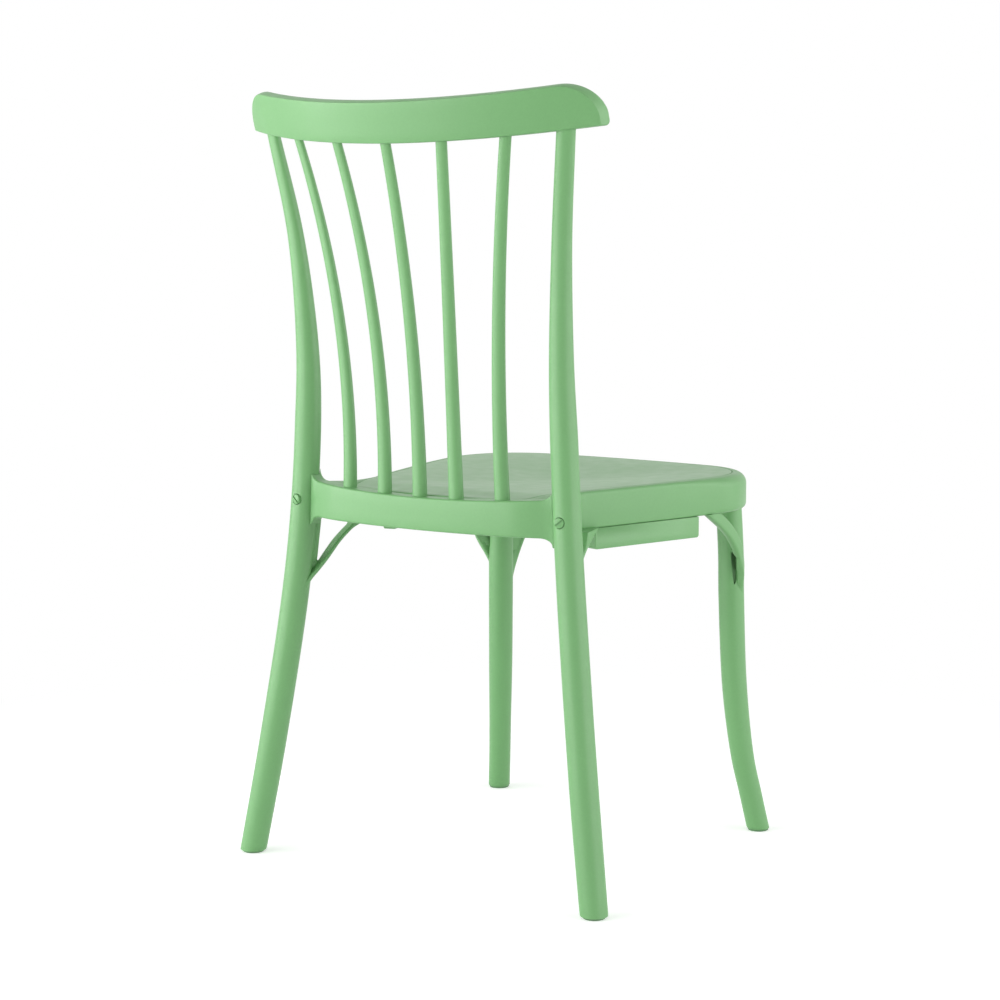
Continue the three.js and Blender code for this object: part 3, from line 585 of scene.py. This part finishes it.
def rim_half():
    """The frame's true outline with its ear, and the seam point that belongs to each point."""
    plain = panel_half()
    seam = [inset_point(p, edge_radius(p[1]) + SEAM_IN) for p in plain]
    rear = rail_front(EAR_START, 60)
    start = np.array([side_x(EAR_Y), EAR_Y])
    tip = [bezier(rear[-1], EAR_CORNER, EAR_TIP, t) for t in np.linspace(0, 1, 12)][1:]
    edge = [lerp(np.array(EAR_TIP), np.array(EAR_FLARE), k / 14) for k in range(1, 14)]
    flare = [bezier(EAR_FLARE, EAR_CURVE, start, t) for t in np.linspace(0, 1, 40)]
    ear = tip + edge + flare
    # The plain outline takes over where its straight side passes the start of the ear.
    front_from = next(k for k, p in enumerate(plain) if k > 60 and p[1] < EAR_Y and p[0] > 100)
    # Seam points: the rear stretch for the rear edge, then the stretch beside the ear.
    split = next(k for k, p in enumerate(plain) if p[0] > SEAM_SPLIT)
    rear_seam = resample(seam[:split + 1], len(rear))
    ear_seam = resample(seam[split:front_from], len(ear) + 1)[1:]
    return rear + ear + plain[front_from:], rear_seam + ear_seam + seam[front_from:]


def outward_normals(points):
    """Level directions out of an outline, evened out a little between neighbours."""
    p = np.array(points)
    t = np.roll(p, -1, axis=0) - np.roll(p, 1, axis=0)
    n = np.stack([t[:, 1], -t[:, 0]], axis=1)
    n /= np.linalg.norm(n, axis=1)[:, None]
    if ((p - CENTRE) * n).sum() < 0:
        n = -n
    for _ in range(3):
        n = (np.roll(n, 1, axis=0) + 2 * n + np.roll(n, -1, axis=0)) / 4
    return n / np.linalg.norm(n, axis=1)[:, None]


def seat_frame_mesh():
    half, seams = rim_half()
    outline = whole(half)
    sections = []
    for p, s, n in zip(outline, whole(seams), outward_normals(outline)):
        radius = edge_radius(p[1])
        if p[1] >= EAR_SOFTENING[0]:
            radius = lerp(SIDE_EDGE, EAR_EDGE, smoothstep(p[1], *EAR_SOFTENING))
        lower = lerp(SIDE_UNDER, FRONT_UNDER, front_share(p[1]))
        top = lerp(SEAT_TOP, EAR_TOP, smoothstep(p[1], *EAR_SLOPE))
        seam_top = seat_top(s[1])
        toward = (CENTRE - s) / np.linalg.norm(CENTRE - s)
        ring_in = s + toward * RIM_WIDTH
        column = [(ring_in, BOTTOM), (s, BOTTOM)]
        for r in np.radians(np.linspace(90, 0, 7)):
            column.append((p - n * lower * (1 - math.cos(r)), BOTTOM + lower * (1 - math.sin(r))))
        for r in np.radians(np.linspace(0, 90, 12)):
            column.append((p - n * radius * (1 - math.cos(r)), top - radius * (1 - math.sin(r))))
        edge_in = p - n * radius
        for w in (k / 7 for k in range(1, 7)):
            column.append((lerp(edge_in, s, w), lerp(top, seam_top, smoothstep(w, 0, 1))))
        # The small rounded step at the seam, then the lip under the panel.
        column.append((s - toward * 0.5, seam_top))
        column.append((s - toward * 0.12, seam_top - 0.15))
        column.append((s, seam_top - 0.6))
        column.append((s, seam_top - RIM_LIP))
        column.append((ring_in, seam_top - RIM_LIP))
        sections.append([(q[0], q[1], z) for q, z in column])
    return skin(sections, closed=True)


def seat_panel_mesh():
    plain = whole(panel_half())
    outline = [inset_point(p, edge_radius(p[1]) + SEAM_IN + SEAM_WIDTH) for p in plain]

    def ring(share, drop, extra=0.0):
        out = []
        for p in outline:
            q = lerp(CENTRE, p, share)
            d = p - CENTRE
            q = q - d / np.linalg.norm(d) * extra
            dish = DISH / 2 * (1 + math.cos(math.pi * share))
            out.append((q[0], q[1], seat_top(q[1]) - dish - drop))
        return out

    shares = np.linspace(0.04, 1, 34)
    under = [ring(s, PANEL_THICKNESS) for s in shares]
    edge = [ring(1, drop, extra) for drop, extra in ((0.9, 0), (0.4, 0.1), (0.12, 0.35), (0, 0.8))]
    return skin(under + edge + [ring(s, 0) for s in shares[-2::-1]])


# ---- Braces ---------------------------------------------------------------------------

# Lines of the braces' middles: how far in and how far along from an axis, and the height.
REAR_BRACE_AXIS = (189.2, 161.9)
REAR_BRACE = [
    (7.4, -4.4, 298), (10.9, -2.4, 309), (14.1, 2.3, 319.2), (16.3, 12.3, 329.2), (18.3, 22.2, 339.2),
    (20.2, 31.8, 349.2), (22.2, 41.8, 359.3), (25.3, 53.8, 369.5), (27.2, 61, 374.8),
    (29.6, 70.4, 380), (32.9, 80.8, 385), (37.4, 94.6, 390.2), (41.9, 108.6, 395),
]
LEG_TOP = (167.5, -209.6)
SIDE_BRACE = [
    (4, -6, 270), (9, -4, 284), (12.8, 0, 297), (16.9, 5.1, 309.6), (19.8, 9.8, 318.5), (22, 17, 331),
    (22.8, 26, 346), (23.3, 42, 363), (23.5, 60, 376), (23.5, 78, 386.5), (23.5, 98, 398),
]
FRONT_BRACE = [
    (0, 5, 254), (1, 14, 274), (1.5, 20, 290), (3.5, 25.5, 306), (8.5, 31, 325), (16.5, 35, 343),
    (28, 37, 357), (43, 38, 369), (58, 38.5, 379), (74, 38.5, 388), (90, 38.5, 398),
]
# A band's thickness and level width. Between two heights its inner side grows by the root and
# one flank by the flare; its level width starts as a share of the whole at the foot.
REAR_BAND = {"size": (4.8, 12), "root": (22, 374, 386), "foot": (0.45, 312, 345), "flare": 6.0, "edge": 1.6}
FRONT_BAND = {"size": (12, 8.5), "root": (3, 318, 352), "foot": (1.0, 0, 1), "flare": 0.0, "edge": 2.8}
# The upright webs between a leg and its bands: half the thickness, edge, and the heights.
REAR_WEB, REAR_WEB_HEIGHTS = (4.5, 3.0), (320, 396)
REAR_WEB_AIM, REAR_WEB_LENGTHS, REAR_WEB_GROWTH = (-0.498, -0.866), (15.0, 22.0), (318, 342)
FRONT_WEB, SIDE_WEB_HEIGHTS, FRONT_WEB_HEIGHTS = (3.5, 2.0), (316, 341), (308, 340)
# How far the braces go into the seat. Both heights stay off the voxel grid of the fused bands.
BRACE_INTO_SEAT, REAR_BRACE_INTO_SEAT = 0.4, 1.2
VOXEL = 0.0009
# The narrow slot between each front leg and its side brace: [height, near edge, far edge].
BRACE_SLOT = [(299, 1.8, 3.4), (304, 1.2, 4.4), (313, 0, 4.4), (325, -1.5, 4), (334, -2, 3.6), (337.5, -1.2, 3)]
BRACE_SLOT_AXIS, BRACE_SLOT_REACH = (168.3, -210.4), (10.8, 34.0)


def band_rings(axis, sx, sy, points, band, steps=70):
    path = [(axis[0] + sx * a, axis[1] + sy * b, z) for a, b, z in points]
    (thickness, width), (root, *root_heights), (foot, *foot_heights) = band["size"], band["root"], band["foot"]
    rings = []
    for k in range(steps + 1):
        t = k / steps
        c = spline(path, t)
        d = spline(path, min(t + 0.004, 1)) - spline(path, max(t - 0.004, 0))
        level, upper = level_and_upper(d / np.linalg.norm(d))
        grown = smoothstep(c[2], *root_heights)
        half = width / 2 * lerp(foot, 1.0, smoothstep(c[2], *foot_heights))
        outline = rounded_rectangle(-thickness / 2, thickness / 2 + root * grown,
                                    -half, half + band["flare"] * grown, band["edge"], 4)
        rings.append([tuple(c + upper * u + level * v) for u, v in outline])
    return rings


def web_rings(stations, half, edge):
    """An upright web out of a leg: [axis x, axis y, tip x, tip y, height]."""
    rings = []
    for ax, ay, tx, ty, z in stations:
        aim = np.array([tx - ax, ty - ay, 0.0])
        length = np.linalg.norm(aim)
        aim /= length
        side = np.array([-aim[1], aim[0], 0.0])
        outline = rounded_rectangle(-half, half, 0.0, length, edge, 5)
        rings.append([tuple(np.array([ax, ay, z]) + side * u + aim * v) for u, v in outline])
    return rings


def rear_web():
    """Forwards and inwards out of a rear leg, whose axis it follows; shorter at its lower end."""
    lower, upper = REAR_LEG[2:4]
    out = []
    for z in np.linspace(*REAR_WEB_HEIGHTS, 24):
        share = (z - lower[2]) / (upper[2] - lower[2])
        x, y = (lerp(lower[i], upper[i], share) for i in (0, 1))
        length = lerp(*REAR_WEB_LENGTHS, smoothstep(z, *REAR_WEB_GROWTH))
        out.append((x, y, x + REAR_WEB_AIM[0] * length, y + REAR_WEB_AIM[1] * length, z))
    return out


def front_web(points, direction, heights):
    """Between a front leg and the middle of a band."""
    levels = [p[2] for p in points]
    out = []
    for z in np.linspace(*heights, 12):
        a, b = (float(np.interp(z, levels, [p[i] for p in points])) for i in (0, 1))
        out.append((*LEG_TOP, LEG_TOP[0] + direction * a, LEG_TOP[1] + direction * b, z))
    return out


def brace_slot_rings():
    out, across = np.array([0.581, 0.814, 0.0]), np.array([0.814, -0.581, 0.0])
    start, end = BRACE_SLOT_REACH
    rings = []
    for z, near, far in BRACE_SLOT:
        axis = np.array([*BRACE_SLOT_AXIS, z])
        corners = [(start, near), (start, far), (end, far), (end, near)]
        rings.append([tuple(axis + out * d + across * u) for d, u in corners])
    return rings


def fused(name, band, web, tools):
    """A band and its web grown together into one moulded form."""
    first = new_object(name, *skin(band))
    second = new_object("web", *skin(web))
    cut(first, second, operation="UNION")
    discard(second)
    remesh = first.modifiers.new("remesh", "REMESH")
    remesh.mode = "VOXEL"
    remesh.voxel_size = VOXEL
    soften = first.modifiers.new("soften", "SMOOTH")
    soften.factor = 0.5
    soften.iterations = 6
    apply_modifiers(first, 60)
    cut(first, *tools, angle=50)
    return first


def block(name, y, bottom, top, reach=300):
    """A cutter as wide as the chair, from its front to y."""
    ring = [[(-reach, -reach, z), (reach, -reach, z), (reach, y, z), (-reach, y, z)] for z in (bottom, top)]
    return new_object(name, *skin(ring))


# ---- Screws, planks and glides --------------------------------------------------------

HEAD = np.array([181.5, 175.0, 412.0])
AIM = np.array([170.5, 128.0, 412.0])
# Profiles: [distance along the axis, radius].
SCREW_SEAT = [(-9, 6.6), (-1.2, 6.6), (3.6, 6.15)]
SCREW_HEAD = [(-0.95, 0.8), (-0.9, 3.4), (-0.65, 4.85), (-0.25, 5.55), (0.2, 5.7), (3.5, 5.7)]
SLOT_HALF, SLOT_DEPTHS, SLOT_TILT = (9, 0.95), (-3.0, 0.7), -38
GLIDE = [(0.0, 11.2), (0.1, 11.8), (0.4, 12.25), (0.8, 12.4), (2.6, 12.4)]
PLANK_LENGTH, PLANK_HEIGHT, PLANK_THICKNESS = 159, 23.6, 14
PLANK_EDGE, PLANK_CORNER, PLANK_TOP_CORNER = 0.9, 3.2, 0.6


def lathe_along(name, start, direction, profile, sides=48):
    level, upper = level_and_upper(direction)
    rings = []
    for distance, radius in profile:
        c = start + direction * distance
        rings.append([tuple(c + radius * (math.cos(a) * level + math.sin(a) * upper))
                      for a in np.linspace(0, 2 * math.pi, sides, endpoint=False)])
    return new_object(name, *skin(rings), angle=30)


def screw_and_seat(leg, side, word):
    """A slotted screw in a dished seat; its slot leans the other way on the other side."""
    head, aim = (np.array([v[0] * side, v[1], v[2]]) for v in (HEAD, AIM))
    axis = (aim - head) / np.linalg.norm(aim - head)
    seat_tool = lathe_along("screw_seat", head, axis, SCREW_SEAT)
    cut(leg, seat_tool)
    screw = lathe_along(f"frame_screw_{word}_fine", head, axis, SCREW_HEAD)
    level, upper = level_and_upper(axis)
    tilt = math.radians(SLOT_TILT) * side
    along = math.cos(tilt) * level + math.sin(tilt) * upper
    across = np.cross(along, axis)
    length, half = SLOT_HALF
    corners = ((-length, -half), (length, -half), (length, half), (-length, half))
    rings = [[tuple(head + axis * depth + along * u + across * v) for u, v in corners] for depth in SLOT_DEPTHS]
    slot_tool = new_object("slot_tool", *skin(rings))
    cut(screw, slot_tool, angle=30)
    discard(seat_tool, slot_tool)
    dress(screw, f"frame_screw_{word}", screw_paint)


def plank_rings():
    """A plank beside the straight side, in layers inwards, with softly rounded edges."""
    start = np.array([SIDE_POINT[0], SIDE_POINT[1], 0.0])
    forwards = np.array([SPLAY, -1.0, 0.0]) / math.hypot(SPLAY, 1)
    up = np.array([0.0, 0.0, 1.0])
    inwards = np.cross(forwards, up)
    r = PLANK_EDGE
    layers = [(r - r * math.cos(a), r - r * math.sin(a)) for a in np.radians(np.linspace(0, 90, 7))]
    layers += [(PLANK_THICKNESS - depth, inset) for depth, inset in reversed(layers)]
    rings = []
    for depth, inset in layers:
        outline = rounded_rectangle(inset, PLANK_LENGTH - inset, BOTTOM - GAP - PLANK_HEIGHT + inset,
                                    BOTTOM - 0.1, PLANK_CORNER, 6, PLANK_TOP_CORNER)
        rings.append([tuple(start + forwards * u + up * v + inwards * depth) for u, v in outline])
    return rings


def glide_rings(x, y, sides=48):
    return [[(x + r * math.cos(a), y + r * math.sin(a), FLOOR_Z + z)
             for a in np.linspace(0, 2 * math.pi, sides, endpoint=False)] for z, r in GLIDE]


# ---- Building the pieces --------------------------------------------------------------

dress_green(new_object("crest_rail_fine", *skin(crest_rings()), angle=50), "crest_rail")

rear_legs = both("rear_leg", leg_rings(REAR_LEG, 150))
front_legs = both("front_leg", leg_rings(FRONT_LEG, 100) + [oval(*FRONT_LEG_END)])
for (side, word), leg in zip(SIDES, rear_legs):
    screw_and_seat(leg, side, word)
slots = both("slot_tool", brace_slot_rings())
for leg, slot in zip(front_legs, slots):
    cut(leg, slot)
for (side, word), rear_leg, front_leg in zip(SIDES, rear_legs, front_legs):
    dress_green(rear_leg, f"rear_leg_{word}")
    dress_green(front_leg, f"front_leg_{word}")

for number, (which, side) in enumerate(SPINDLE_ORDER, 1):
    rings = sided(spindle_rings(*SPINDLES[which]), side)
    dress_green(new_object(f"spindle_{number}_fine", *skin(rings)), f"spindle_{number}")

# The rail and the seat frame are cut back from the legs so that a fine joint line shows.
leg_tools = both("leg_tool", leg_rings(REAR_LEG, 60, grow=LEG_JOINT, foot=False))
for name, (points, faces) in (("rear_rail", skin(rail_rings())), ("seat_frame", seat_frame_mesh())):
    piece = new_object(f"{name}_fine", points, faces, angle=50)
    cut(piece, *leg_tools, angle=50)
    dress_green(piece, name)
dress(new_object("seat_panel_fine", *seat_panel_mesh(), angle=50), "seat_panel", seat_plastic)

ceiling = block("ceiling", 300, BOTTOM + BRACE_INTO_SEAT, BOTTOM + 100)
rear_ceiling = block("rear_ceiling", 300, BOTTOM + REAR_BRACE_INTO_SEAT, BOTTOM + 100)
beside_plank = block("beside_plank", SIDE_POINT[1] + GAP, BOTTOM - 100, BOTTOM + 90)
BRACES = (
    ("rear_brace", band_rings(REAR_BRACE_AXIS, -1, -1, REAR_BRACE, REAR_BAND),
     web_rings(rear_web(), *REAR_WEB), [rear_ceiling, beside_plank]),
    ("side_brace", band_rings(LEG_TOP, 1, 1, SIDE_BRACE, FRONT_BAND),
     web_rings(front_web(SIDE_BRACE, 1, SIDE_WEB_HEIGHTS), *FRONT_WEB), [ceiling]),
    ("front_brace", band_rings(LEG_TOP, -1, -1, FRONT_BRACE, FRONT_BAND),
     web_rings(front_web(FRONT_BRACE, -1, FRONT_WEB_HEIGHTS), *FRONT_WEB), [ceiling]),
)
for (side, word), slot in zip(SIDES, slots):
    for name, band, web, tools in BRACES:
        brace = fused(f"{name}_{word}_fine", sided(band, side), sided(web, side), tools)
        if name == "side_brace":
            cut(brace, slot, angle=50)
        dress_green(brace, f"{name}_{word}")

for plank, (_, word) in zip(both("stacking_rail", plank_rings(), angle=50), SIDES):
    dress_green(plank, f"stacking_rail_{word}")

for node, (x, y) in (("rear_glide", REAR_LEG[0][:2]), ("front_glide", FRONT_LEG[0][:2])):
    for side, word in SIDES:
        glide = new_object(f"{node}_{word}_fine", *skin(glide_rings(x * side, y)), angle=50)
        dress(glide, f"{node}_{word}", glide_plastic)

discard(ceiling, rear_ceiling, beside_plank, *leg_tools, *slots)

# ---- Studio ---------------------------------------------------------------------------

FLOOR_SIZE, FLOOR_BELOW = 60.0, 0.0002
FLOOR_GREY, FLOOR_GLOW = 0.86, 0.46
FLOOR_FADE = (0.45, 1.15)  # distances between which the floor turns plain white
WORLD_SIDES, WORLD_TOP, WORLD_FADE = 0.66, 0.34, (0.05, 0.75)


def sees_background(nodes, links):
    """1 for the rays that show the white background: camera, reflected and transmitted ones."""
    path = nodes.new("ShaderNodeLightPath")
    seen = path.outputs["Is Camera Ray"]
    for kind in ("Is Glossy Ray", "Is Transmission Ray"):
        either = nodes.new("ShaderNodeMath")
        either.operation = "MAXIMUM"
        links.new(seen, either.inputs[0])
        links.new(path.outputs[kind], either.inputs[1])
        seen = either.outputs["Value"]
    return seen


def smooth_range(nodes, span, values=(0.0, 1.0)):
    """A soft change from one value to the other as its input crosses a span."""
    fade = nodes.new("ShaderNodeMapRange")
    fade.interpolation_type = "SMOOTHSTEP"
    fade.inputs["From Min"].default_value, fade.inputs["From Max"].default_value = span
    fade.inputs["To Min"].default_value, fade.inputs["To Max"].default_value = values
    return fade


def floor_material():
    """A pale matt floor that keeps the shadow near the chair and turns plain white further out."""
    material = bpy.data.materials.new("studio_floor")
    material.use_nodes = True
    nodes, links = material.node_tree.nodes, material.node_tree.links
    nodes.clear()
    out = nodes.new("ShaderNodeOutputMaterial")
    diffuse = nodes.new("ShaderNodeBsdfDiffuse")
    diffuse.inputs["Color"].default_value = (FLOOR_GREY, FLOOR_GREY, FLOOR_GREY, 1)

    def glow(strength):
        emission = nodes.new("ShaderNodeEmission")
        emission.inputs["Color"].default_value = (1, 1, 1, 1)
        emission.inputs["Strength"].default_value = strength
        return emission.outputs["Emission"]

    def mix(share, first, second):
        n = nodes.new("ShaderNodeMixShader")
        links.new(share, n.inputs["Fac"])
        links.new(first, n.inputs[1])
        links.new(second, n.inputs[2])
        return n.outputs["Shader"]

    near = nodes.new("ShaderNodeAddShader")
    links.new(diffuse.outputs["BSDF"], near.inputs[0])
    links.new(glow(FLOOR_GLOW), near.inputs[1])
    place = nodes.new("ShaderNodeTexCoord")
    reach = nodes.new("ShaderNodeVectorMath")
    reach.operation = "LENGTH"
    links.new(place.outputs["Object"], reach.inputs[0])
    fade = smooth_range(nodes, FLOOR_FADE)
    links.new(reach.outputs["Value"], fade.inputs["Value"])
    seen = mix(fade.outputs["Result"], near.outputs["Shader"], glow(1.0))
    shown = mix(sees_background(nodes, links), diffuse.outputs["BSDF"], seen)
    links.new(shown, out.inputs["Surface"])
    return material


floor_mesh = bpy.data.meshes.new("studio_floor")
floor_corners = [(x * FLOOR_SIZE, y * FLOOR_SIZE, 0) for x, y in ((-1, -1), (1, -1), (1, 1), (-1, 1))]
floor_mesh.from_pydata(floor_corners, [], [(0, 1, 2, 3)])
floor_mesh.materials.append(floor_material())
floor = bpy.data.objects.new("studio_floor", floor_mesh)
floor.location.z = -FLOOR_BELOW
bpy.context.scene.collection.objects.link(floor)

world = bpy.data.worlds.new("studio")
world.use_nodes = True
world_nodes, world_links = world.node_tree.nodes, world.node_tree.links
background = world_nodes["Background"]
background.inputs["Color"].default_value = (1, 1, 1, 1)
direction = world_nodes.new("ShaderNodeTexCoord")
height = world_nodes.new("ShaderNodeSeparateXYZ")
world_links.new(direction.outputs["Generated"], height.inputs["Vector"])
sky = smooth_range(world_nodes, WORLD_FADE, (WORLD_SIDES, WORLD_TOP))
world_links.new(height.outputs["Z"], sky.inputs["Value"])
strength = world_nodes.new("ShaderNodeMath")
strength.operation = "MAXIMUM"
world_links.new(sees_background(world_nodes, world_links), strength.inputs[0])
world_links.new(sky.outputs["Result"], strength.inputs[1])
world_links.new(strength.outputs["Value"], background.inputs["Strength"])

camera_data = bpy.data.cameras.new("camera")
camera_data.lens = 92.2
camera_data.sensor_width = 36
camera = bpy.data.objects.new("camera", camera_data)
camera.location = (-1.6954, 2.4054, 0.7745)
camera.rotation_euler = Euler((math.radians(82.969), 0, math.radians(215.502)), "XYZ")

PHOTO_LEFT = Vector((0.814, 0.581, 0))
TO_CAMERA = Vector((-0.581, 0.814, 0))
LAMP_TARGET, LAMP_DISTANCE, LAMP_HEIGHT, LAMP_SIZE = Vector((0, 0, 0.45)), 2.6, 10.0, (1.5, 1.8)
# Lamps stand round the chair, most of them behind it: degrees from the photo's left towards the
# camera, watts, and whether they shine off it. The one beyond the seat would put a glare on it.
LAMPS = (
    ("key", 0, 32.0, True), ("key_soft", 35, 31.5, True), ("fill_soft", 145, 21.5, True),
    ("fill", 180, 16.5, True), ("front", 285, 8.0, False),
)


def area_light(name, around, watts, shines):
    data = bpy.data.lights.new(name, "AREA")
    data.shape = "RECTANGLE"
    data.size, data.size_y = LAMP_SIZE
    data.energy = watts
    lamp = bpy.data.objects.new(name, data)
    bpy.context.scene.collection.objects.link(lamp)
    turn, tip = math.radians(around), math.radians(LAMP_HEIGHT)
    flat = PHOTO_LEFT * math.cos(turn) + TO_CAMERA * math.sin(turn)
    away = (flat.normalized() * math.cos(tip) + Vector((0, 0, math.sin(tip)))) * LAMP_DISTANCE
    lamp.location = LAMP_TARGET + away
    lamp.rotation_euler = (-away).to_track_quat("-Z", "Y").to_euler()
    lamp.visible_glossy = shines


for lamp_settings in LAMPS:
    area_light(*lamp_settings)

scene = bpy.context.scene
scene.collection.objects.link(camera)
scene.camera = camera
scene.world = world
scene.view_settings.view_transform = "Standard"
